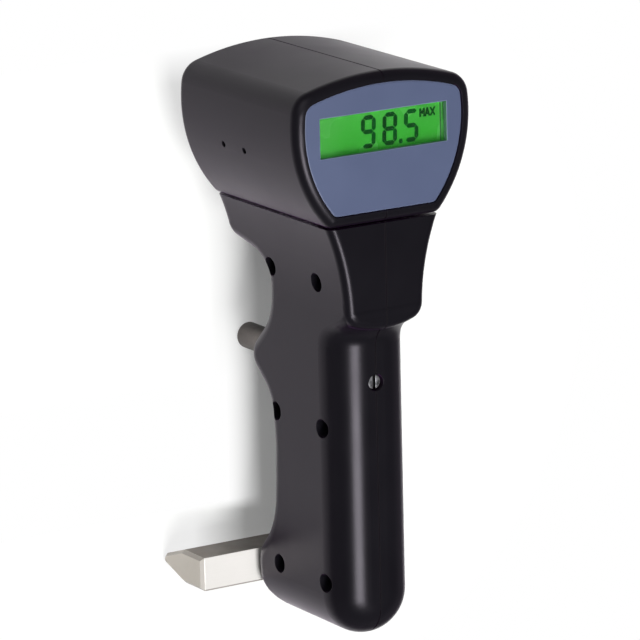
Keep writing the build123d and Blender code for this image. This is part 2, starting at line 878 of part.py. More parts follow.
def trimmer_rotor(z):
    """Slotted rotor of one trimmer."""
    low = sensor_board_y() + trimmer_height - rotor_sunk
    high = low + rotor_height
    width, depth = rotor_slot
    slot_x = (trimmer_x - width / 2, trimmer_x + width / 2)
    slot = block(slot_x, (high - depth, head_half), (z - trimmer_half, z + trimmer_half))
    return rod("Y", rotor_radius, low, high, (trimmer_x, z)) - slot


# Battery bay

def battery_holder():
    """Open tray for the two cells."""
    half = cell_length / 2 + contact_thick
    reach = cell_radius + holder_gap
    low_z, high_z = head_rear_z + head_wall, cell_z + reach + holder_wall
    x = (cell_x[0] - reach - holder_wall, cell_x[1] + reach + holder_wall)
    tray = block(x, (-half - holder_wall, half + holder_wall), (low_z, high_z))
    for cell in cell_x:
        tray -= rod("Y", reach, -half, half, (cell, cell_z))
        tray -= block((cell - reach, cell + reach), (-half, half), (0.0, cell_z))
    door_half = head_side_y(door_low_x) - door_side + door_gap
    tray -= block((door_low_x - door_gap, far), (-door_half, door_half), (0.0, low_z + free_gap))
    return tray & head_slice(head_wall + free_gap, 0.0, rim_z)


def battery_cells():
    """Two round cells that lie across the head."""
    half = cell_length / 2
    radius, height = cell_nub
    group = []
    for x, way in zip(cell_x, (1, -1)):
        low, high = sorted((-way * half, way * (half - height)))
        cell = rod("Y", cell_radius, low, high, (x, cell_z))
        low, high = sorted((way * (half - height), way * half))
        group.append(cell + rod("Y", radius, low, high, (x, cell_z)))
    return Compound(children=group)


def battery_contacts():
    """Four contact plates at the ends of the cells."""
    half = cell_length / 2
    group = []
    for x in cell_x:
        for sign in (1, -1):
            low, high = sorted((sign * half, sign * (half + contact_thick)))
            spot = (x - contact_half, x + contact_half)
            group.append(block(spot, (low, high), (cell_z - contact_half, cell_z + contact_half)))
    return Compound(children=group)


# Fasteners of the case

def case_screws():
    """Six screws, deep in their recesses, that hold the grip halves together."""
    radius, height = case_screw_head
    group = []
    for x, z in case_screw_places():
        screw = rod("Y", case_screw_radius, case_screw_tip_y, recess_floor_y, (x, z))
        top = recess_floor_y + height
        head = rod("Y", radius, recess_floor_y, top, (x, z))
        length, depth, width = case_screw_cross
        for turn in (0, 90):
            head -= Pos(x, top, z) * Rot(0, turn, 0) * Box(length, 2 * depth, width)
        group.append(screw + head)
    return Compound(children=group)


def neck_screws():
    """Four screws from the head's inside into the neck."""
    radius, height = neck_screw_head
    seat = head_low_x + head_wall
    group = []
    for sign in (1, -1):
        for z in neck_screw_z:
            at = (sign * neck_screw_y, z)
            screw = rod("X", neck_screw_radius, seat - neck_screw_length, seat, at)
            group.append(screw + rod("X", radius, seat, seat + height, at))
    return Compound(children=group)


def main():
    os.makedirs("parts", exist_ok=True)
    grip = grip_shell()
    head = head_shell()
    nodes = {
        "grip_left_shell": side_half(grip, 1),
        "grip_right_shell": side_half(grip, -1),
        "head_left_shell": side_half(head, 1),
        "head_right_shell": side_half(head, -1),
        "battery_door": battery_door(),
        "face_panel": face_panel(),
        "display_window": display_window(),
        "lcd_glass": lcd_glass(),
        "lcd_connectors": lcd_connectors(),
        "lcd_backlight": lcd_backlight(),
        "display_board": display_board(),
        "display_board_screws": display_board_screws(),
        "sensor_board": sensor_board(),
        "sensor_board_screws": sensor_board_screws(),
        "trimmer_bodies": trimmer_bodies(),
        "zero_trimmer_rotor": trimmer_rotor(trimmer_z[0]),
        "span_trimmer_rotor": trimmer_rotor(trimmer_z[1]),
        "battery_holder": battery_holder(),
        "battery_cells": battery_cells(),
        "battery_contacts": battery_contacts(),
        "frame": frame(),
        "foot_bar": foot_bar(),
        "foot_screws": foot_screws(),
        "point_sleeve": point_sleeve(),
        "indenter": indenter(),
        "plunger": plunger(),
        "load_spring": load_spring(),
        "load_adjusting_screw": load_adjusting_screw(),
        "lock_nut": lock_nut(),
        "sensor_arm": sensor_arm(),
        "sensor_core": sensor_core(),
        "sensor_coil": sensor_coil(),
        "case_screws": case_screws(),
        "neck_screws": neck_screws(),
    }
    for name, shape in nodes.items():
        export_step(shape, "parts/" + name + ".step")


main()
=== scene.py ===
import math

import bpy
from bpy.props import (
    FloatProperty,
    FloatVectorProperty,
    IntProperty,
    PointerProperty,
    StringProperty,
)
from mathutils import Matrix, Vector


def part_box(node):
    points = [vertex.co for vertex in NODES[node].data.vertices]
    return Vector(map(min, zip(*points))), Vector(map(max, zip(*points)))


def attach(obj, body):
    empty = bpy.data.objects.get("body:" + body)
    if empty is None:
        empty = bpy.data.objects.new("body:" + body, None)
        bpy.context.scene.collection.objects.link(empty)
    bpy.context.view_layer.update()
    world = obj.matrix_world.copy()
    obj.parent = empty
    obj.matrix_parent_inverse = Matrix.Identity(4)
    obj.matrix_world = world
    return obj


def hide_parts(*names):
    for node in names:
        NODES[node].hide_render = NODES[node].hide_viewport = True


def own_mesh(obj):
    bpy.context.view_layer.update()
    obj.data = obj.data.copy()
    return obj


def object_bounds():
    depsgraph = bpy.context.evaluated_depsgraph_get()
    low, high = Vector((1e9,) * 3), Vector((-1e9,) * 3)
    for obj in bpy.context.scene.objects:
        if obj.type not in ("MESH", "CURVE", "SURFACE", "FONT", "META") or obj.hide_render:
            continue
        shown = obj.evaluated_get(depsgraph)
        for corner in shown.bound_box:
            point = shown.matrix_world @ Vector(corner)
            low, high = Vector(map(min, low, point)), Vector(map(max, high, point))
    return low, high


bl_info = {
    "name": "Indentation Hardness Tester",
    "version": (1, 0, 0),
    "blender": (4, 5, 0),
    "location": "3D View > Sidebar > Tester",
    "description": "Finishes, display and stage for a hand-held hardness tester",
    "category": "Object",
}

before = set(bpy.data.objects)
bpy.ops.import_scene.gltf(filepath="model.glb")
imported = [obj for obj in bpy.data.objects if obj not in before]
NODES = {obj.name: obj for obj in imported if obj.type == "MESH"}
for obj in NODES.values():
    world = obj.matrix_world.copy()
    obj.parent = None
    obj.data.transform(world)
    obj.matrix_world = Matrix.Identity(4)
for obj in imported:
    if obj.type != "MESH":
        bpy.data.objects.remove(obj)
CAD_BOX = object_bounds()


def paint(red, green, blue):
    """Linear colour of an 8-bit display colour."""
    def linear(level):
        share = level / 255
        return share / 12.92 if share <= 0.04045 else ((share + 0.055) / 1.055) ** 2.4
    return (linear(red), linear(green), linear(blue), 1.0)


class CaseLook(bpy.types.PropertyGroup):
    """Moulded case and face panel."""

    shell_colour: FloatVectorProperty(
        name="Shell colour", description="Charcoal of the moulded halves",
        subtype="COLOR", size=4, default=paint(16, 15, 19),
    )
    rub_colour: FloatVectorProperty(
        name="Rubbed edge", description="Lighter charcoal along handled edges",
        subtype="COLOR", size=4, default=paint(36, 35, 40),
    )
    seam_colour: FloatVectorProperty(
        name="Seam colour", description="Dull line where two halves meet",
        subtype="COLOR", size=4, default=paint(9, 9, 10),
    )
    seam_half: FloatProperty(
        name="Seam half width", description="Half the width of the dull line",
        default=0.0003, unit="LENGTH", precision=6,
    )
    # Painted light: a pale colour that lightens the shaded groove between head and neck
    groove_painted_light: FloatVectorProperty(
        name="Groove painted light", description="Painted light in the shaded groove between head and neck",
        subtype="COLOR", size=4, default=paint(142, 136, 148),
    )
    shell_roughness: FloatProperty(
        name="Shell roughness", description="Middle roughness of the satin moulding",
        default=0.32, min=0.05, max=1, subtype="FACTOR",
    )
    gloss_tint: FloatVectorProperty(
        name="Gloss tint", description="Faint violet of the shell's gloss",
        subtype="COLOR", size=4, default=(0.95, 0.885, 1.0, 1.0),
    )
    sheen_tint: FloatVectorProperty(
        name="Sheen tint", description="Violet of the shell's faint sheen",
        subtype="COLOR", size=4, default=(0.8, 0.2, 1.0, 1.0),
    )
    sheen_weight: FloatProperty(
        name="Sheen weight", description="Strength of the shell's faint sheen",
        default=0.05, min=0, max=1, subtype="FACTOR",
    )
    grain_height: FloatProperty(
        name="Grain height", description="Height of the moulding grain",
        default=0.000006, unit="LENGTH", precision=6,
    )
    panel_colour: FloatVectorProperty(
        name="Panel colour", description="Slate blue of the face panel",
        subtype="COLOR", size=4, default=paint(78, 87, 115),
    )
    wall_colour: FloatVectorProperty(
        name="Window wall", description="Green that the display throws on the panel's window walls",
        subtype="COLOR", size=4, default=paint(84, 140, 104),
    )


class MetalLook(bpy.types.PropertyGroup):
    """Foot bar, point sleeve and adjusting screw."""

    foot_face: FloatVectorProperty(
        name="Foot face", description="Bright ground face of the foot bar",
        subtype="COLOR", size=4, default=paint(225, 222, 218),
    )
    # Painted shade on the foot bar: its ends and flanks take darker colours than its face, and its flanks a
    # painted shadow beside the case
    foot_end_shade: FloatVectorProperty(
        name="Foot end shade", description="Painted shade on the sawn ends of the foot bar",
        subtype="COLOR", size=4, default=paint(184, 176, 167),
    )
    foot_flank_shade: FloatVectorProperty(
        name="Foot flank shade", description="Painted shade on the flanks of the foot bar",
        subtype="COLOR", size=4, default=paint(98, 84, 73),
    )
    foot_case_shadow: FloatVectorProperty(
        name="Foot case shadow", description="Painted shadow on the flanks of the foot bar beside the case",
        subtype="COLOR", size=4, default=paint(52, 40, 30),
    )
    sleeve_colour: FloatVectorProperty(
        name="Sleeve", description="Hardened steel of the point sleeve",
        subtype="COLOR", size=4, default=paint(115, 109, 107),
    )
    sleeve_shade: FloatVectorProperty(
        name="Sleeve shade", description="Darker marks on the point sleeve",
        subtype="COLOR", size=4, default=paint(86, 81, 79),
    )
    # Painted glints and dark reflections on the adjusting screw, and painted shade in its slot
    adjuster_colour: FloatVectorProperty(
        name="Adjuster", description="Zinc of the adjusting screw, also the bright of its painted glints",
        subtype="COLOR", size=4, default=paint(176, 176, 180),
    )
    adjuster_dark_reflection: FloatVectorProperty(
        name="Adjuster dark reflection", description="Dark patches on the adjusting screw, painted in place of dark reflections",
        subtype="COLOR", size=4, default=paint(26, 26, 29),
    )
    slot_shade_colour: FloatVectorProperty(
        name="Slot shade", description="Painted shade in the adjusting screw's slot",
        subtype="COLOR", size=4, default=paint(9, 9, 10),
    )
    slot_half: FloatProperty(
        name="Slot half width", description="Half the width of the dark in the slot",
        default=0.00053, unit="LENGTH", precision=6,
    )


class DisplayLook(bpy.types.PropertyGroup):
    """Liquid crystal display and its reading."""

    reading: StringProperty(
        name="Reading", description="Number on the display", default="98.5",
    )
    glow_colour: FloatVectorProperty(
        name="Glow", description="Backlit ground of the display",
        subtype="COLOR", size=4, default=paint(43, 143, 38),
    )
    ink_colour: FloatVectorProperty(
        name="Ink", description="Dark segments of the display",
        subtype="COLOR", size=4, default=paint(0, 71, 19),
    )
    digit_height: FloatProperty(
        name="Digit height", description="Height of a digit",
        default=0.0094, unit="LENGTH", precision=6,
    )
    digit_width: FloatProperty(
        name="Digit width", description="Width of a digit",
        default=0.0049, unit="LENGTH", precision=6,
    )
    digit_pitch: FloatProperty(
        name="Digit pitch", description="Distance from one digit to the next",
        default=0.00715, unit="LENGTH", precision=6,
    )
    stroke: FloatProperty(
        name="Stroke", description="Width of a segment",
        default=0.0013, unit="LENGTH", precision=6,
    )
    segment_gap: FloatProperty(
        name="Segment gap", description="Gap between two segments",
        default=0.00016, unit="LENGTH", precision=6,
    )
    slant: FloatProperty(
        name="Slant", description="Lean of the digits",
        default=math.radians(2.5), unit="ROTATION",
    )
    reading_shift: FloatVectorProperty(
        name="Reading shift",
        description="Middle digit from the window's middle along X and from the seam along Y",
        default=(-0.00035, -0.0034), size=2, unit="LENGTH", precision=6,
    )
    mark_place: FloatVectorProperty(
        name="Mark place", description="Place of the hold mark's middle along X and Y",
        default=(0.0774, -0.0160), size=2, unit="LENGTH", precision=6,
    )
    mark_height: FloatProperty(
        name="Mark height", description="Height of the small hold mark",
        default=0.0022, unit="LENGTH", precision=6,
    )
    ink_height: FloatProperty(
        name="Ink height", description="Thickness of the segments",
        default=0.00003, unit="LENGTH", precision=6,
    )
    air_gap: FloatProperty(
        name="Air gap", description="Air between the display glass and its cover",
        default=0.00015, unit="LENGTH", precision=6,
    )
    cover_bevel: FloatProperty(
        name="Cover bevel", description="Broken edge of the clear cover",
        default=0.00025, unit="LENGTH", precision=6,
    )


class SpringLook(bpy.types.PropertyGroup):
    """Load spring round the plunger's nose."""

    wire: FloatProperty(
        name="Wire", description="Diameter of the wire",
        default=0.0016, unit="LENGTH", precision=6,
    )
    coil_radius: FloatProperty(
        name="Coil radius", description="Radius of the coil at the middle of the wire",
        default=0.00475, unit="LENGTH", precision=6,
    )
    turns: IntProperty(
        name="Turns", description="Turns of the coil", default=4, min=1,
    )
    turn_steps: IntProperty(
        name="Steps", description="Steps of the mesh in one turn", default=40, min=3,
    )
    wire_sides: IntProperty(
        name="Sides", description="Sides of the mesh round the wire", default=16, min=3,
    )


class StageLook(bpy.types.PropertyGroup):
    """Floor, lamps and camera."""

    floor_colour: FloatVectorProperty(
        name="Floor colour", description="Pale sheet under the tester",
        subtype="COLOR", size=4, default=paint(243, 244, 241),
    )
    fibre_colour: FloatVectorProperty(
        name="Fibre colour", description="Faint fibre of the pale sheet",
        subtype="COLOR", size=4, default=paint(236, 237, 233),
    )
    far_colour: FloatVectorProperty(
        name="Far colour", description="Dark floor past the pale sheet, which throws little light back",
        subtype="COLOR", size=4, default=paint(40, 40, 42),
    )
    key_power: FloatProperty(
        name="Key power", description="Power of the lamp overhead in watts",
        default=18.0, min=0, unit="POWER",
    )
    key_way: FloatVectorProperty(
        name="Key direction", description="Way from the tester to the lamp overhead",
        default=(-0.30, 0.19, 0.935), size=3, subtype="DIRECTION",
    )
    key_size: FloatVectorProperty(
        name="Key size", description="Sides of the lamp overhead",
        default=(0.45, 0.48), size=2, unit="LENGTH",
    )
    fill_power: FloatProperty(
        name="Fill power", description="Power of the broad, weak lamp ahead in watts",
        default=4.0, min=0, unit="POWER",
    )
    fill_way: FloatVectorProperty(
        name="Fill direction", description="Way from the tester to the lamp ahead",
        default=(0.60, 0.35, 0.72), size=3, subtype="DIRECTION",
    )
    fill_size: FloatVectorProperty(
        name="Fill size", description="Sides of the lamp ahead",
        default=(0.9, 0.9), size=2, unit="LENGTH",
    )
    gloss_share: FloatProperty(
        name="Gloss share", description="Share of the floor's white that shows in gloss",
        default=0.45, min=0, max=1, subtype="FACTOR",
    )
    sky_level: FloatProperty(
        name="Sky level", description="Strength of the dim room round the tester",
        default=0.09, min=0,
    )
    lens: FloatProperty(
        name="Lens", description="Focal length of the camera in millimetres",
        default=311.0, min=1, unit="CAMERA",
    )
    camera_place: FloatVectorProperty(
        name="Camera place", description="Place of the camera",
        default=(0.394063, 0.806723, 1.362247), size=3, subtype="TRANSLATION", precision=6,
    )
    camera_turn: FloatVectorProperty(
        name="Camera turn", description="Turn of the camera",
        default=(-0.644361, 0.270762, 0.111155, 0.706492), size=4, subtype="QUATERNION", precision=6,
    )


# Node helpers for the finishes

def new_finish(name):
    """Material with one Principled shader; gives the material, its tree and the shader."""
    finish = bpy.data.materials.new(name)
    finish.use_nodes = True
    tree = finish.node_tree
    tree.nodes.clear()
    shader = tree.nodes.new("ShaderNodeBsdfPrincipled")
    output = tree.nodes.new("ShaderNodeOutputMaterial")
    tree.links.new(shader.outputs["BSDF"], output.inputs["Surface"])
    return finish, tree, shader


def add_node(tree, kind, settings=None, **inputs):
    """Node of a kind, with its settings and the given input values."""
    node = tree.nodes.new(kind)
    for name, value in (settings or {}).items():
        setattr(node, name, value)
    for name, value in inputs.items():
        node.inputs[name].default_value = value
    return node


def piece_coordinates(tree, scale=(1, 1, 1)):
    """Object coordinates, stretched by scale."""
    place = tree.nodes.new("ShaderNodeTexCoord")
    stretch = add_node(tree, "ShaderNodeMapping", Scale=scale)
    tree.links.new(place.outputs["Object"], stretch.inputs["Vector"])
    return stretch.outputs["Vector"]


def axes_of(tree, vector):
    """Sockets of a vector's X, Y and Z."""
    node = tree.nodes.new("ShaderNodeSeparateXYZ")
    tree.links.new(vector, node.inputs["Vector"])
    return node.outputs


def way_faced(tree):
    """Sockets of the X, Y and Z of the way that the surface faces."""
    return axes_of(tree, tree.nodes.new("ShaderNodeNewGeometry").outputs["Normal"])


def noise(tree, vector, scale, detail=3.0, roughness=0.55):
    """Noise value on a vector."""
    node = add_node(tree, "ShaderNodeTexNoise", Scale=scale, Detail=detail, Roughness=roughness)
    tree.links.new(vector, node.inputs["Vector"])
    return node.outputs["Fac"]


def spread(tree, value, low, high, start=0.3, end=0.7):
    """Value from start to end spread from low to high; the start and end given here suit noise."""
    node = tree.nodes.new("ShaderNodeMapRange")
    for name, number in (("From Min", start), ("From Max", end), ("To Min", low), ("To Max", high)):
        node.inputs[name].default_value = number
    tree.links.new(value, node.inputs["Value"])
    return node.outputs["Result"]


def fade(tree, value, start, end):
    """Share that goes from none at a start to all at an end."""
    return spread(tree, value, 0.0, 1.0, start, end)


def part_of(tree, share, most):
    """Share scaled down, from none to the most given."""
    return spread(tree, share, 0.0, most, 0.0, 1.0)


def within(tree, value, middle, half):
    """Share that is all where a value lies within half of the middle, and none elsewhere."""
    node = add_node(tree, "ShaderNodeMath", {"operation": "COMPARE"})
    node.inputs[1].default_value = middle
    node.inputs[2].default_value = half
    tree.links.new(value, node.inputs[0])
    return node.outputs[0]


def tone(colour, factor, lift=0.0):
    """Colour brought up or down by a factor, and then lifted."""
    return tuple(min(1.0, level * factor + lift) for level in colour[:3]) + (1.0,)


def blend_colours(tree, share, first, second):
    """Mix of two colours, each a colour or a socket, by a share."""
    node = tree.nodes.new("ShaderNodeMix")
    node.data_type = "RGBA"
    sockets = [s for s in node.inputs if s.type == "RGBA"]
    for socket, colour in zip(sockets, (first, second)):
        if isinstance(colour, bpy.types.NodeSocket):
            tree.links.new(colour, socket)
        else:
            socket.default_value = colour
    tree.links.new(share, node.inputs[0])
    return [s for s in node.outputs if s.type == "RGBA"][0]


def join_shares(tree, operation, first, second):
    """Two shares joined by a maths operation."""
    node = add_node(tree, "ShaderNodeMath", {"operation": operation})
    tree.links.new(first, node.inputs[0])
    tree.links.new(second, node.inputs[1])
    return node.outputs[0]


def worn_edges(tree, radius):
    """Share of edge rubbing, and the normal of an edge broken by radius."""
    broken = add_node(tree, "ShaderNodeBevel", {"samples": 6}, Radius=radius)
    surface = tree.nodes.new("ShaderNodeNewGeometry")
    dot = add_node(tree, "ShaderNodeVectorMath", {"operation": "DOT_PRODUCT"})
    tree.links.new(broken.outputs["Normal"], dot.inputs[0])
    tree.links.new(surface.outputs["Normal"], dot.inputs[1])
    flat, sharp = 0.995, 0.88
    return fade(tree, dot.outputs["Value"], flat, sharp), broken.outputs["Normal"]


def dress(tree, shader, colour, roughness):
    """Feeds a shader with a colour and a roughness."""
    tree.links.new(colour, shader.inputs["Base Color"])
    tree.links.new(roughness, shader.inputs["Roughness"])


def add_bump(tree, shader, height, distance, base=None, strength=1.0):
    """Bump on a shader from a height of a real distance, on a base normal."""
    bump = add_node(tree, "ShaderNodeBump", Strength=strength, Distance=distance)
    tree.links.new(height, bump.inputs["Height"])
    if base is not None:
        tree.links.new(base, bump.inputs["Normal"])
    tree.links.new(bump.outputs["Normal"], shader.inputs["Normal"])


def shader_of(finish):
    """Principled shader of a finish."""
    return next(node for node in finish.node_tree.nodes if node.type == "BSDF_PRINCIPLED")


def feed_of(socket):
    """Socket that feeds a shader's socket."""
    return socket.links[0].from_socket


def give(finish, *names):
    """Puts a finish on CAD nodes."""
    for name in names:
        for place in NODES[name].material_slots:
            place.material = finish


# Finishes

EVEN_GRAIN = (1500, 1500, 1500)


def moulded_plastic(name, colour, rub, roughness, grain_height):
    """Satin moulded plastic with a fine grain, mottle and rubbed edges."""
    finish, tree, shader = new_finish(name)
    place = piece_coordinates(tree)
    mottle = noise(tree, place, scale=42.0, detail=2.0)
    fine = noise(tree, place, scale=2600.0, detail=2.0)
    edge, broken = worn_edges(tree, radius=0.00012)
    body = blend_colours(tree, spread(tree, mottle, 0.0, 0.10), colour, rub)
    tint = blend_colours(tree, part_of(tree, edge, 0.14), body, rub)
    dress(tree, shader, tint, spread(tree, mottle, roughness - 0.025, roughness + 0.03))
    shader.inputs["Specular IOR Level"].default_value = 0.155
    add_bump(tree, shader, fine, grain_height, broken)
    return finish


def case_plastic(look):
    """Moulded plastic of the case, with a dull seam, painted light in the groove beside the neck and a violet
    cast.
    """
    finish = moulded_plastic(
        "case_plastic", look.shell_colour, look.rub_colour, look.shell_roughness, look.grain_height,
    )
    tree = finish.node_tree
    shader = shader_of(finish)
    tint = feed_of(shader.inputs["Base Color"])
    gloss = feed_of(shader.inputs["Roughness"])
    axes = axes_of(tree, piece_coordinates(tree))
    seam = within(tree, axes["Y"], 0.0, look.seam_half)
    # Painted light in the groove between head and neck, off the front, where shade would darken it
    groove_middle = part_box("head_left_shell")[0].x - 0.0002
    groove = within(tree, axes["X"], groove_middle, half=0.00024)
    off_the_front = fade(tree, axes["Z"], 0.073, 0.066)
    seamed = blend_colours(tree, seam, tint, look.seam_colour)
    groove_lit = blend_colours(
        tree, join_shares(tree, "MULTIPLY", groove, off_the_front), seamed, look.groove_painted_light,
    )
    dulled = join_shares(tree, "MAXIMUM", gloss, part_of(tree, seam, 0.62))
    dress(tree, shader, groove_lit, dulled)
    shader.inputs["Specular Tint"].default_value = look.gloss_tint
    shader.inputs["Sheen Weight"].default_value = look.sheen_weight
    shader.inputs["Sheen Roughness"].default_value = 0.4
    shader.inputs["Sheen Tint"].default_value = look.sheen_tint
    return finish


def window_wall(tree):
    """Share of the panel's window walls, which take on the display's green light."""
    low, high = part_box("display_window")
    middle = (low + high) / 2
    axes = axes_of(tree, piece_coordinates(tree))
    share = within(tree, way_faced(tree)["Z"], 0.0, half=0.3)
    for axis, centre, half in (("X", middle.x, high.x - middle.x), ("Y", middle.y, high.y - middle.y)):
        share = join_shares(tree, "MULTIPLY", share, within(tree, axes[axis], centre, half))
    return share


def panel_film(look):
    """Satin printed film with a faint cloud and grain, rubbed pale at its edges, with a painted highlight
    along its rounded rim.
    """
    finish, tree, shader = new_finish("panel_film")
    place = piece_coordinates(tree)
    cloud = noise(tree, place, scale=55.0, detail=2.0)
    fine = noise(tree, place, scale=3800.0, detail=1.0)
    edge, broken = worn_edges(tree, radius=0.0004)
    # Pale colour for both the rubbed edges, which is wear, and the painted highlight on the rim
    pale = tone(look.panel_colour, 2.2, 0.08)
    deep = tone(look.panel_colour, 0.93)
    body = blend_colours(tree, spread(tree, cloud, 0.0, 1.0), deep, look.panel_colour)
    rubbed = blend_colours(tree, part_of(tree, edge, 0.8), body, pale)
    # Painted highlight: the rounded rim, found by how far the surface turns from Z, is made paler
    rim = spread(tree, way_faced(tree)["Z"], 0.45, 0.0, 0.80, 0.99)
    rim_highlighted = blend_colours(tree, rim, rubbed, pale)
    tint = blend_colours(tree, window_wall(tree), rim_highlighted, look.wall_colour)
    dress(tree, shader, tint, spread(tree, cloud, 0.40, 0.47))
    shader.inputs["Specular IOR Level"].default_value = 0.35
    add_bump(tree, shader, fine, 0.000004, broken)
    return finish


def metal(name, colour, dark, roughness, grain, metallic=1.0, mark_depth=0.000004, stains=(130.0, 0.5)):
    """Cut metal with marks along the axis of small grain scale, and stains of a scale and strength."""
    finish, tree, shader = new_finish(name)
    stain_scale, stain_strength = stains
    marks = noise(tree, piece_coordinates(tree, grain), scale=1.0, detail=4.0, roughness=0.7)
    stain = noise(tree, piece_coordinates(tree), stain_scale)
    edge, broken = worn_edges(tree, radius=0.00025)
    stained = blend_colours(tree, spread(tree, stain, 0.0, stain_strength), colour, dark)
    grained = blend_colours(tree, spread(tree, marks, 0.0, 0.22), stained, dark)
    tint = blend_colours(tree, part_of(tree, edge, 0.8), grained, tone(colour, 1.25, 0.04))
    dress(tree, shader, tint, spread(tree, marks, roughness - 0.06, roughness + 0.08))
    shader.inputs["Metallic"].default_value = metallic
    add_bump(tree, shader, marks, mark_depth, broken)
    return finish


def adjuster_zinc(look):
    """Zinc of the adjusting screw, with painted glints and dark reflections in large random patches, and
    painted shade in its slot along X.
    """
    # Painted glints and dark reflections: the stains here are large, strong patches from bright to near black
    finish = metal(
        "adjuster_zinc", look.adjuster_colour, look.adjuster_dark_reflection, 0.34, EVEN_GRAIN,
        metallic=0.75, stains=(620.0, 1.0),
    )
    tree = finish.node_tree
    base = shader_of(finish).inputs["Base Color"]
    # Painted shade in the slot
    slot = within(tree, axes_of(tree, piece_coordinates(tree))["Y"], 0.0, look.slot_half)
    tree.links.new(blend_colours(tree, slot, feed_of(base), look.slot_shade_colour), base)
    return finish


def ground_bar(look):
    """Bar ground bright on its flat face, with painted shade on its sawn ends and flanks, a painted shadow on
    the flanks beside the case and a painted shade line along its low edge.
    """
    finish, tree, shader = new_finish("foot_steel")
    low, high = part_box("foot_bar")
    axes = axes_of(tree, piece_coordinates(tree))
    faced = way_faced(tree)
    marks = noise(tree, piece_coordinates(tree, (2600, 160, 2600)), scale=1.0, detail=4.0, roughness=0.7)
    stain = noise(tree, piece_coordinates(tree), scale=130.0)
    edge, broken = worn_edges(tree, radius=0.00025)
    # Painted shade: a thin dark line along the face's low edge
    edge_shade_line = spread(tree, axes["X"], 0.75, 0.0, low.x + 0.00035, low.x + 0.00045)
    # Painted shadow: the flanks darken towards the case
    inward = fade(tree, axes["Y"], high.y - 0.003, high.y - 0.017)
    shaded_flank = blend_colours(tree, inward, look.foot_flank_shade, look.foot_case_shadow)
    tint = blend_colours(tree, edge_shade_line, look.foot_face, look.foot_flank_shade)
    # Painted shade: the faces that face along Y and X take darker colours than the bright face
    for axis, colour in (("Y", look.foot_end_shade), ("X", shaded_flank)):
        size = add_node(tree, "ShaderNodeMath", {"operation": "ABSOLUTE"})
        tree.links.new(faced[axis], size.inputs[0])
        tint = blend_colours(tree, fade(tree, size.outputs[0], 0.5, 0.85), tint, colour)
    dull = tone(look.foot_face, 0.82)
    stained = blend_colours(tree, spread(tree, stain, 0.0, 0.12), tint, dull)
    grained = blend_colours(tree, spread(tree, marks, 0.0, 0.12), stained, dull)
    rubbed = blend_colours(tree, part_of(tree, edge, 0.6), grained, look.foot_face)
    dress(tree, shader, rubbed, spread(tree, marks, 0.32, 0.46))
    shader.inputs["Metallic"].default_value = 0.25
    shader.inputs["Specular IOR Level"].default_value = 0.25
    add_bump(tree, shader, marks, 0.000004, broken)
    return finish


def solder_mask():
    """Green board lacquer with paler tracks in it."""
    finish, tree, shader = new_finish("solder_mask")
    place = piece_coordinates(tree)
    cells = add_node(tree, "ShaderNodeTexVoronoi", {"distance": "MANHATTAN"}, Scale=420.0)
    tree.links.new(place, cells.inputs["Vector"])
    track = fade(tree, cells.outputs["Distance"], 0.36, 0.30)
    mottle = noise(tree, place, scale=160.0)
    body = blend_colours(tree, spread(tree, mottle, 0.0, 0.4), paint(12, 74, 42), paint(18, 92, 54))
    tint = blend_colours(tree, part_of(tree, track, 0.6), body, paint(52, 128, 74))
    dress(tree, shader, tint, spread(tree, mottle, 0.26, 0.36))
    add_bump(tree, shader, track, 0.00003, strength=0.6)
    return finish


def cell_film():
    """Scuffed film round a cell, with a band of another colour."""
    finish, tree, shader = new_finish("cell_film")
    ground, band = paint(38, 39, 44), paint(176, 128, 62)
    band_low, band_high = 0.010, 0.0225
    place = piece_coordinates(tree)
    scuff = noise(tree, place, scale=240.0)
    inside = within(
        tree, axes_of(tree, place)["Y"], (band_low + band_high) / 2, (band_high - band_low) / 2,
    )
    body = blend_colours(tree, inside, ground, band)
    tint = blend_colours(tree, spread(tree, scuff, 0.0, 0.25), body, tone(ground, 1.0, 0.04))
    dress(tree, shader, tint, spread(tree, scuff, 0.25, 0.38))
    add_bump(tree, shader, scuff, 0.00001, strength=0.5)
    return finish


def lcd_glow(look):
    """Backlit display ground, with painted shade along its low edge, pale at one end and dimmed past a line
    at the other.
    """
    finish, tree, shader = new_finish("lcd_glow")
    low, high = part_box("display_window")
    line_y = low.y + 0.0019
    place = piece_coordinates(tree)
    axes = axes_of(tree, place)
    glow = tuple(look.glow_colour)
    pale = tone(glow, 1.12, 0.015)
    # Painted shade: the glow starts darker at the display's low edge along X
    ramp = tree.nodes.new("ShaderNodeValToRGB")
    ramp.color_ramp.elements[0].color = tone(glow, 0.62)
    ramp.color_ramp.elements[1].color = pale
    ramp.color_ramp.elements.new(0.30).color = glow
    tree.links.new(fade(tree, axes["X"], low.x, high.x), ramp.inputs["Fac"])
    patches = noise(tree, place, scale=90.0, detail=1.0)
    mottled = blend_colours(tree, spread(tree, patches, 0.0, 0.25), ramp.outputs["Color"], pale)
    pale_end = spread(tree, axes["Y"], 0.0, 0.4, high.y - 0.011, high.y)
    ground = blend_colours(tree, pale_end, mottled, paint(84, 164, 80))
    past_line = spread(tree, axes["Y"], 0.3, 0.0, line_y - 0.0002, line_y - 0.0001)
    dimmed = blend_colours(tree, past_line, ground, paint(8, 40, 14))
    line = within(tree, axes["Y"], line_y, half=0.00016)
    tint = blend_colours(tree, line, dimmed, paint(6, 36, 16))
    dress(tree, shader, tint, spread(tree, patches, 0.22, 0.30))
    tree.links.new(tint, shader.inputs["Emission Color"])
    shader.inputs["Emission Strength"].default_value = 0.55
    return finish


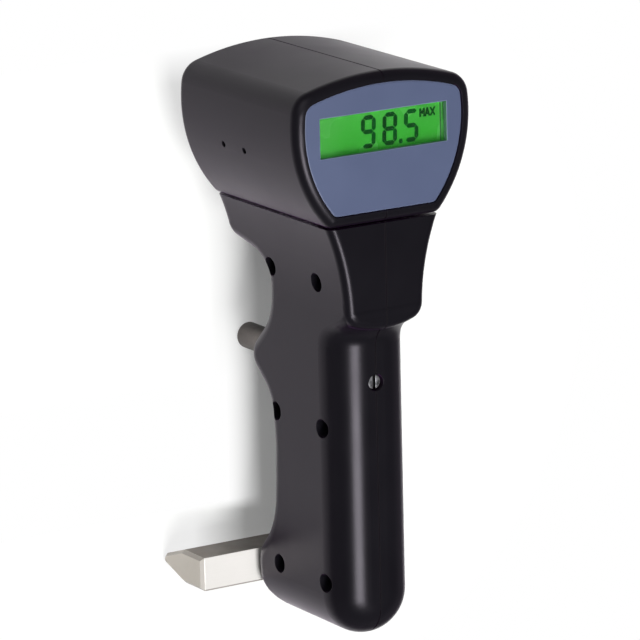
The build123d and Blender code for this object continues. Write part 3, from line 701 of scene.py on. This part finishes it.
def lcd_ink(look):
    """Dark crystal of a segment, a little uneven."""
    finish, tree, shader = new_finish("lcd_ink")
    patches = noise(tree, piece_coordinates(tree), scale=700.0, detail=1.0)
    uneven = spread(tree, patches, 0.0, 0.5)
    tint = blend_colours(tree, uneven, look.ink_colour, tone(look.ink_colour, 1.35))
    dress(tree, shader, tint, spread(tree, patches, 0.35, 0.45))
    shader.inputs["Specular IOR Level"].default_value = 0.03
    return finish


def clear_plastic():
    """Clear cover with faint wiping marks."""
    finish, tree, shader = new_finish("clear_cover")
    marks = noise(tree, piece_coordinates(tree, (900, 90, 900)), scale=1.0)
    tint = blend_colours(tree, marks, (0.96, 0.98, 0.97, 1), (0.99, 1.0, 0.99, 1))
    dress(tree, shader, tint, spread(tree, marks, 0.02, 0.06))
    shader.inputs["Transmission Weight"].default_value = 1.0
    shader.inputs["IOR"].default_value = 1.49
    return finish


# Modelling helpers

CLOSE = 1e-7
SMOOTH_ANGLE = math.radians(40)


def clear_selection():
    """Leaves edit mode and deselects everything."""
    if bpy.context.object and bpy.context.object.mode != "OBJECT":
        bpy.ops.object.mode_set(mode="OBJECT")
    bpy.ops.object.select_all(action="DESELECT")


def select_only(*pieces):
    """Selects pieces, with the first one active."""
    clear_selection()
    for piece in pieces:
        piece.select_set(True)
    bpy.context.view_layer.objects.active = pieces[0]


def settle(piece, finish, body):
    """Applies a piece's place to its mesh, gives it a finish and lets it ride."""
    select_only(piece)
    bpy.ops.object.transform_apply(location=True, rotation=True, scale=True)
    piece.data.materials.clear()
    piece.data.materials.append(finish)
    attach(piece, body)


def copy_piece(piece, name):
    """Copy of a piece with its own mesh."""
    twin = piece.copy()
    twin.data = piece.data.copy()
    twin.name = name
    bpy.context.scene.collection.objects.link(twin)
    return twin


def thicken(thickness):
    """Extrudes the flat mesh in edit mode along Z, and leaves edit mode."""
    bpy.ops.mesh.select_all(action="SELECT")
    bpy.ops.mesh.extrude_region_move(TRANSFORM_OT_translate={"value": (0, 0, thickness)})
    bpy.ops.mesh.select_all(action="SELECT")
    bpy.ops.mesh.normals_make_consistent(inside=False)
    bpy.ops.object.mode_set(mode="OBJECT")


def join_on_display(pieces, name, place):
    """Joins flat pieces laid out round the origin, and turns and places them on the display."""
    select_only(*pieces)
    bpy.ops.object.transform_apply(location=True, rotation=True, scale=True)
    bpy.ops.object.join()
    joined = bpy.context.object
    joined.name = name
    joined.rotation_euler.z = -math.pi / 2
    joined.location = place
    return joined


# Operators

class TESTER_OT_case_finish(bpy.types.Operator):
    """Give the moulded halves, the door and the face panel their finishes"""

    bl_idname = "tester.case_finish"
    bl_label = "Case Finish"

    def execute(self, context):
        look = context.scene.tester_case
        give(
            case_plastic(look), "grip_left_shell", "grip_right_shell", "head_left_shell", "head_right_shell",
            "battery_door",
        )
        give(panel_film(look), "face_panel")
        return {"FINISHED"}


class TESTER_OT_metal_finish(bpy.types.Operator):
    """Give the foot, sleeve, load train and screws their metals"""

    bl_idname = "tester.metal_finish"
    bl_label = "Metal Finish"

    def execute(self, context):
        look = context.scene.tester_metal
        give(ground_bar(look), "foot_bar")
        sleeve = metal("sleeve_steel", look.sleeve_colour, look.sleeve_shade, 0.42, (1400, 1400, 5200))
        give(sleeve, "point_sleeve", "plunger", "sensor_core")
        tip = metal("tip_steel", paint(176, 174, 172), paint(140, 138, 136), 0.24, (1200, 1200, 5200))
        give(tip, "indenter")
        carrier = metal("frame_steel", paint(150, 150, 150), paint(118, 118, 118), 0.38, (180, 2600, 2600))
        give(carrier, "frame")
        bright = metal("screw_steel", paint(206, 206, 204), paint(160, 160, 160), 0.22, EVEN_GRAIN)
        give(bright, "lock_nut", "foot_screws", "neck_screws", "display_board_screws", "sensor_board_screws")
        give(adjuster_zinc(look), "load_adjusting_screw")
        dark = metal("case_screw_steel", paint(70, 70, 72), paint(40, 40, 42), 0.36, EVEN_GRAIN)
        give(dark, "case_screws")
        arm = metal("arm_aluminium", paint(216, 217, 220), paint(188, 189, 193), 0.32, (200, 2400, 2400))
        give(arm, "sensor_arm")
        coil = metal(
            "coil_brass", paint(178, 112, 58), paint(132, 78, 38), 0.36, (300, 300, 5200), mark_depth=0.00002,
        )
        give(coil, "sensor_coil")
        return {"FINISHED"}


class TESTER_OT_load_spring(bpy.types.Operator):
    """Model the load spring as a fixed coil that rides with the housing; the real spring shortens as the
    indenter goes in
    """

    bl_idname = "tester.load_spring"
    bl_label = "Load Spring"

    def execute(self, context):
        look = context.scene.tester_spring
        low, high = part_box("load_spring")
        tall = high.z - low.z
        clear_selection()
        bpy.ops.mesh.primitive_circle_add(
            vertices=look.wire_sides, radius=look.wire / 2, rotation=(math.pi / 2, 0, 0),
            location=(look.coil_radius, 0, low.z + look.wire / 2),
        )
        spring = context.object
        spring.name = "load_spring_coil"
        bpy.ops.object.transform_apply(location=True, rotation=True, scale=True)
        coil = spring.modifiers.new("Coil", "SCREW")
        coil.steps = coil.render_steps = look.turn_steps
        coil.iterations = look.turns
        coil.screw_offset = (tall - look.wire) / look.turns
        bpy.ops.object.modifier_apply(modifier=coil.name)
        bpy.ops.object.mode_set(mode="EDIT")
        bpy.ops.mesh.select_all(action="SELECT")
        bpy.ops.mesh.fill_holes(sides=0)
        bpy.ops.mesh.select_all(action="SELECT")
        bpy.ops.mesh.normals_make_consistent(inside=False)
        bpy.ops.object.mode_set(mode="OBJECT")
        bpy.ops.object.shade_smooth_by_angle(angle=SMOOTH_ANGLE)
        wire = metal("spring_wire", paint(126, 126, 128), paint(90, 90, 92), 0.30, (900, 900, 900))
        settle(spring, wire, "housing")
        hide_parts("load_spring")
        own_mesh(spring)
        return {"FINISHED"}


class TESTER_OT_inner_finish(bpy.types.Operator):
    """Give the boards, battery bay and display stack their finishes"""

    bl_idname = "tester.inner_finish"
    bl_label = "Inner Finish"

    def execute(self, context):
        give(solder_mask(), "display_board", "sensor_board")
        blue = moulded_plastic("trimmer_plastic", paint(26, 68, 150), paint(62, 104, 180), 0.36, 0.000004)
        give(blue, "trimmer_bodies")
        brass = metal("rotor_brass", paint(214, 178, 104), paint(172, 136, 72), 0.30, EVEN_GRAIN)
        give(brass, "zero_trimmer_rotor", "span_trimmer_rotor")
        tray = moulded_plastic("tray_plastic", paint(24, 24, 25), paint(46, 46, 47), 0.46, 0.000008)
        give(tray, "battery_holder")
        give(cell_film(), "battery_cells")
        nickel = metal("contact_nickel", paint(214, 212, 204), paint(176, 172, 164), 0.24, (300, 2400, 2400))
        give(nickel, "battery_contacts")
        strip = moulded_plastic("strip_rubber", paint(198, 128, 136), paint(214, 160, 164), 0.62, 0.000010)
        give(strip, "lcd_connectors")
        guide = moulded_plastic("light_guide", paint(226, 234, 226), paint(240, 244, 240), 0.40, 0.000003)
        give(guide, "lcd_backlight")
        return {"FINISHED"}


class TESTER_OT_display_cover(bpy.types.Operator):
    """Model the clear cover over the display and light the glass under it"""

    bl_idname = "tester.display_cover"
    bl_label = "Display Cover"

    def execute(self, context):
        look = context.scene.tester_display
        give(lcd_glow(look), "lcd_glass")
        low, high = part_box("display_window")
        low.z += look.air_gap
        clear_selection()
        bpy.ops.mesh.primitive_cube_add(size=1, location=(low + high) / 2)
        cover = context.object
        cover.name = "display_cover"
        bpy.ops.object.mode_set(mode="EDIT")
        bpy.ops.mesh.select_all(action="SELECT")
        bpy.ops.transform.resize(value=tuple(high - low))
        bpy.ops.mesh.bevel(offset=look.cover_bevel, segments=2, affect="EDGES")
        bpy.ops.object.mode_set(mode="OBJECT")
        settle(cover, clear_plastic(), "housing")
        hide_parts("display_window")
        return {"FINISHED"}


class TESTER_OT_display_reading(bpy.types.Operator):
    """Model one display segment in two lengths, and copy them into the digits of the reading"""

    bl_idname = "tester.display_reading"
    bl_label = "Display Reading"

    # Segments of each digit: a to f clockwise from the top, and g across the middle
    segments = {
        "0": "abcdef", "1": "bc", "2": "abged", "3": "abgcd", "4": "fgbc",
        "5": "afgcd", "6": "afgedc", "7": "abc", "8": "abcdefg", "9": "abfgcd",
    }

    def segment(self, context, length, look):
        """Segment with pointed ends along X, on its back at the origin."""
        end = (length - look.stroke) / 2
        clear_selection()
        bpy.ops.mesh.primitive_plane_add(size=1)
        bar = context.object
        bpy.ops.object.mode_set(mode="EDIT")
        bpy.ops.transform.resize(value=(2 * end, look.stroke, 1))
        for side in (1, -1):
            self.select_end(bar, side * end)
            bpy.ops.mesh.subdivide(number_cuts=1)
            self.select_tip(bar, side * end)
            bpy.ops.transform.translate(value=(side * look.stroke / 2, 0, 0))
        thicken(look.ink_height)
        return bar

    def select_end(self, bar, x):
        """Selects the short edge at X."""
        bpy.ops.mesh.select_all(action="DESELECT")
        bpy.ops.mesh.select_mode(type="EDGE")
        bpy.ops.object.mode_set(mode="OBJECT")
        for edge in bar.data.edges:
            edge.select = all(abs(bar.data.vertices[v].co.x - x) < CLOSE for v in edge.vertices)
        bpy.ops.object.mode_set(mode="EDIT")

    def select_tip(self, bar, x):
        """Selects the middle vertex of the short edge at X."""
        bpy.ops.mesh.select_all(action="DESELECT")
        bpy.ops.mesh.select_mode(type="VERT")
        bpy.ops.object.mode_set(mode="OBJECT")
        for vertex in bar.data.vertices:
            vertex.select = abs(vertex.co.x - x) < CLOSE and abs(vertex.co.y) < CLOSE
        bpy.ops.object.mode_set(mode="EDIT")

    def digit(self, bars, mark, look):
        """Copies of the segments for one digit, at the origin, as a list."""
        wide = (look.digit_width - look.stroke) / 2
        tall = (look.digit_height - look.stroke) / 2
        lean = math.tan(look.slant)
        places = {
            "a": (0, tall, 0), "g": (0, 0, 0), "d": (0, -tall, 0),
            "f": (-wide, tall / 2, 1), "b": (wide, tall / 2, 1),
            "e": (-wide, -tall / 2, 1), "c": (wide, -tall / 2, 1),
        }
        pieces = []
        for name in self.segments[mark]:
            x, y, upright = places[name]
            twin = copy_piece(bars[upright], "segment_" + name)
            twin.rotation_euler.z = math.pi / 2 - look.slant if upright else 0.0
            twin.location = (x + lean * y, y, 0)
            pieces.append(twin)
        return pieces

    def execute(self, context):
        look = context.scene.tester_display
        wide = look.digit_width - look.stroke - look.segment_gap
        tall = (look.digit_height - look.stroke) / 2 - look.segment_gap
        foot = -(look.digit_height - look.stroke) / 2
        bars = [self.segment(context, length, look) for length in (wide, tall)]
        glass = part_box("lcd_glass")[1].z
        low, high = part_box("display_window")
        shift_x, shift_y = look.reading_shift
        centre = Vector(((low.x + high.x) / 2 + shift_x, shift_y, glass))
        pieces = []
        step = -look.digit_pitch
        for mark in look.reading:
            if mark == ".":
                dot = copy_piece(bars[1], "segment_dot")
                dot.scale.x = look.stroke / tall
                dot.location = (step - look.digit_pitch / 2, foot, 0)
                pieces.append(dot)
                continue
            for twin in self.digit(bars, mark, look):
                twin.location.x += step
                pieces.append(twin)
            step += look.digit_pitch
        for bar in bars:
            bpy.data.objects.remove(bar)
        digits = join_on_display(pieces, "lcd_digits", centre)
        settle(digits, lcd_ink(look), "housing")
        return {"FINISHED"}


class TESTER_OT_display_mark(bpy.types.Operator):
    """Model one flat bar, and copy it into the small hold mark beside the reading"""

    bl_idname = "tester.display_mark"
    bl_label = "Display Mark"

    # Strokes of each letter from X, Y to X, Y, in widths and heights from its middle
    strokes = {
        "M": ((-0.5, -0.5, -0.5, 0.5), (0.5, -0.5, 0.5, 0.5), (-0.5, 0.5, 0, -0.1), (0.5, 0.5, 0, -0.1)),
        "A": ((-0.5, -0.5, 0, 0.5), (0.5, -0.5, 0, 0.5), (-0.3, -0.2, 0.3, -0.2)),
        "X": ((-0.5, -0.5, 0.5, 0.5), (-0.5, 0.5, 0.5, -0.5)),
    }

    def execute(self, context):
        look = context.scene.tester_display
        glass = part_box("lcd_glass")[1].z
        tall = look.mark_height
        wide = tall * 0.60
        pitch = tall * 0.80
        stroke = tall * 0.24
        overlap = stroke * 0.6
        clear_selection()
        bpy.ops.mesh.primitive_plane_add(size=1)
        bar = context.object
        bpy.ops.object.mode_set(mode="EDIT")
        thicken(look.ink_height)
        pieces = []
        for place, letter in enumerate("MAX"):
            middle = (place - 1) * pitch
            for x0, y0, x1, y1 in self.strokes[letter]:
                start = Vector((x0 * wide + middle, y0 * tall, 0))
                end = Vector((x1 * wide + middle, y1 * tall, 0))
                run = end - start
                twin = copy_piece(bar, "mark_stroke")
                twin.scale = (run.length + overlap, stroke, 1)
                twin.rotation_euler.z = math.atan2(run.y, run.x)
                twin.location = (start + end) / 2
                pieces.append(twin)
        bpy.data.objects.remove(bar)
        mark = join_on_display(pieces, "lcd_mark", (*look.mark_place, glass))
        settle(mark, bpy.data.materials["lcd_ink"], "housing")
        return {"FINISHED"}


class TESTER_OT_stage(bpy.types.Operator):
    """Set the pale floor, the two lamps, the dim room and the camera"""

    bl_idname = "tester.stage"
    bl_label = "Stage"

    floor_size = 6.0
    floor_gap = 0.00002
    lamp_aim = Vector((0.008, 0.0, 0.04))
    lamp_distance = 1.2
    # Stretches of floor, along X, along Y or from the origin, over which the white comes in from none to all
    white_ahead_x = (0.064, 0.088)
    white_away = (0.085, 0.12)
    white_foot_x = (-0.038, -0.056)
    white_foot_y = (0.002, 0.020)
    white_grip_y = (-0.004, 0.0075)
    white_grip_x = (-0.0535, -0.0495)
    # Stretch along X over which the white beside the grip thins out towards the neck
    thin_grip_x = (-0.012, 0.010)
    # Most white in the shadow, beside the foot and beside the neck; the last two are painted light that thins
    # the tester's shadow
    shadow_white = 0.16
    foot_white = 0.75
    neck_white = 0.58
    # Middle of the pale sheet, and the distances from it between which the sheet comes in and gloss falls
    sheet_middle = (0.03, 0.0, 0.0)
    sheet_edge = (0.24, 0.17)
    gloss_edge = (0.18, 0.25)
    far_gloss = 0.1
    # White that gloss finds low in the room, and the sines of the elevations between which it ends
    backdrop_share = 0.22
    backdrop_edge = (0.15, 0.40)

    def mix(self, tree, share, first, second, output):
        """Feeds an output with two shaders, mixed by a share."""
        both = tree.nodes.new("ShaderNodeMixShader")
        tree.links.new(share, both.inputs["Fac"])
        tree.links.new(first.outputs[0], both.inputs[1])
        tree.links.new(second.outputs[0], both.inputs[2])
        tree.links.new(both.outputs["Shader"], tree.nodes.new(output).inputs["Surface"])

    def seen(self, tree, gloss):
        """Share of white that the rays of the camera, of clear pieces and, less, of gloss find."""
        rays = tree.nodes.new("ShaderNodeLightPath").outputs
        clear = join_shares(tree, "MAXIMUM", rays["Is Camera Ray"], rays["Is Transmission Ray"])
        glossy = join_shares(tree, "MULTIPLY", rays["Is Glossy Ray"], gloss)
        return join_shares(tree, "MAXIMUM", clear, glossy)

    def whiteness(self, tree, place):
        """Share of white that the floor shows by place, least in the tester's shadow; ahead of the head and
        beside the foot and the grip this white is painted light that thins the shadow.
        """
        axes = axes_of(tree, place)
        reach = add_node(tree, "ShaderNodeVectorMath", {"operation": "LENGTH"})
        tree.links.new(place, reach.inputs[0])
        ahead = fade(tree, axes["X"], *self.white_ahead_x)
        away = fade(tree, reach.outputs["Value"], *self.white_away)
        # Painted light beside the foot and the grip, thinning the tester's shadow there
        by_foot = join_shares(
            tree, "MULTIPLY", part_of(tree, fade(tree, axes["X"], *self.white_foot_x), self.foot_white),
            fade(tree, axes["Y"], *self.white_foot_y),
        )
        by_grip = fade(tree, axes["Y"], *self.white_grip_y)
        thinned = spread(tree, axes["X"], 1.0, self.neck_white, *self.thin_grip_x)
        for share in (thinned, fade(tree, axes["X"], *self.white_grip_x)):
            by_grip = join_shares(tree, "MULTIPLY", by_grip, share)
        clear = ahead
        for share in (away, by_foot, by_grip):
            clear = join_shares(tree, "MAXIMUM", clear, share)
        return spread(tree, clear, self.shadow_white, 1.0, 0.0, 1.0)

    def floor_finish(self, look):
        """Pale sheet near the tester that keeps its shadow, white to the camera beyond it."""
        finish = bpy.data.materials.new("pale_floor")
        finish.use_nodes = True
        tree = finish.node_tree
        tree.nodes.clear()
        place = piece_coordinates(tree)
        far = add_node(tree, "ShaderNodeVectorMath", {"operation": "DISTANCE"})
        far.inputs[1].default_value = self.sheet_middle
        tree.links.new(place, far.inputs[0])
        fibre = noise(tree, place, scale=900.0)
        pale = blend_colours(tree, spread(tree, fibre, 0.0, 0.2), look.floor_colour, look.fibre_colour)
        sheet = blend_colours(tree, fade(tree, far.outputs["Value"], *self.sheet_edge), look.far_colour, pale)
        matte = tree.nodes.new("ShaderNodeBsdfDiffuse")
        tree.links.new(sheet, matte.inputs["Color"])
        white = add_node(tree, "ShaderNodeEmission", Strength=1.0)
        gloss = spread(tree, far.outputs["Value"], look.gloss_share, self.far_gloss, *self.gloss_edge)
        share = join_shares(tree, "MULTIPLY", self.seen(tree, gloss), self.whiteness(tree, place))
        self.mix(tree, share, matte, white, "ShaderNodeOutputMaterial")
        return finish

    def room(self, context, look):
        """Dim room with a white backdrop, which the camera sees all round and gloss only low down."""
        world = bpy.data.worlds.new("dim_room")
        context.scene.world = world
        world.use_nodes = True
        tree = world.node_tree
        tree.nodes.clear()
        dim = add_node(tree, "ShaderNodeBackground", Strength=look.sky_level, Color=(0.96, 0.98, 1, 1))
        white = add_node(tree, "ShaderNodeBackground", Strength=1.0, Color=(1, 1, 1, 1))
        rise = axes_of(tree, piece_coordinates(tree))["Z"]
        low = spread(tree, rise, self.backdrop_share, 0.0, *self.backdrop_edge)
        rays = tree.nodes.new("ShaderNodeLightPath").outputs
        bent = join_shares(tree, "MAXIMUM", rays["Is Glossy Ray"], rays["Is Transmission Ray"])
        backdrop = join_shares(tree, "MULTIPLY", bent, low)
        share = join_shares(tree, "MAXIMUM", rays["Is Camera Ray"], backdrop)
        self.mix(tree, share, dim, white, "ShaderNodeOutputWorld")

    def lamp(self, context, name, way, size, power):
        """Rectangular lamp on a direction from the tester, its first side along X."""
        axis = Vector(way).normalized()
        along = (Vector((1, 0, 0)) - axis * axis.x).normalized()
        across = axis.cross(along)
        bpy.ops.object.light_add(type="AREA", location=self.lamp_aim + axis * self.lamp_distance)
        lamp = context.object
        lamp.name = name
        lamp.rotation_euler = Matrix((along, across, axis)).transposed().to_euler()
        lamp.data.shape = "RECTANGLE"
        lamp.data.size, lamp.data.size_y = size
        lamp.data.energy = power

    def camera(self, context, look):
        """Camera at the photograph's place and turn."""
        bpy.ops.object.camera_add(location=look.camera_place)
        camera = context.object
        camera.rotation_mode = "QUATERNION"
        camera.rotation_quaternion = look.camera_turn
        camera.data.lens = look.lens
        camera.data.sensor_width = 36
        camera.data.clip_start = 0.05
        camera.data.clip_end = 20
        context.scene.camera = camera

    def execute(self, context):
        look = context.scene.tester_stage
        clear_selection()
        bpy.ops.mesh.primitive_plane_add(size=self.floor_size, location=(0, 0, CAD_BOX[0].z - self.floor_gap))
        floor = context.object
        floor.name = "floor"
        floor.data.materials.append(self.floor_finish(look))
        self.room(context, look)
        self.lamp(context, "key_lamp", look.key_way, look.key_size, look.key_power)
        self.lamp(context, "fill_lamp", look.fill_way, look.fill_size, look.fill_power)
        self.camera(context, look)
        context.scene.view_settings.view_transform = "Standard"
        return {"FINISHED"}


LOOKS = {
    "tester_case": CaseLook,
    "tester_metal": MetalLook,
    "tester_spring": SpringLook,
    "tester_display": DisplayLook,
    "tester_stage": StageLook,
}
TOOLS = (
    TESTER_OT_case_finish,
    TESTER_OT_metal_finish,
    TESTER_OT_load_spring,
    TESTER_OT_inner_finish,
    TESTER_OT_display_cover,
    TESTER_OT_display_reading,
    TESTER_OT_display_mark,
    TESTER_OT_stage,
)


class TESTER_PT_panel(bpy.types.Panel):
    """Tools of the tester in the sidebar"""

    bl_idname = "TESTER_PT_panel"
    bl_label = "Hardness Tester"
    bl_space_type = "VIEW_3D"
    bl_region_type = "UI"
    bl_category = "Tester"

    def draw(self, context):
        for tool in TOOLS:
            self.layout.operator(tool.bl_idname)
        for group, kind in LOOKS.items():
            for name in kind.__annotations__:
                self.layout.prop(getattr(context.scene, group), name)


CLASSES = (*LOOKS.values(), *TOOLS, TESTER_PT_panel)


def register():
    for item in CLASSES:
        bpy.utils.register_class(item)
    for group, kind in LOOKS.items():
        setattr(bpy.types.Scene, group, PointerProperty(type=kind))


def unregister():
    for group in LOOKS:
        delattr(bpy.types.Scene, group)
    for item in reversed(CLASSES):
        bpy.utils.unregister_class(item)


def main():
    register()
    for tool in TOOLS:
        area, name = tool.bl_idname.split(".")
        getattr(getattr(bpy.ops, area), name)()


if __name__ == "__main__":
    main()
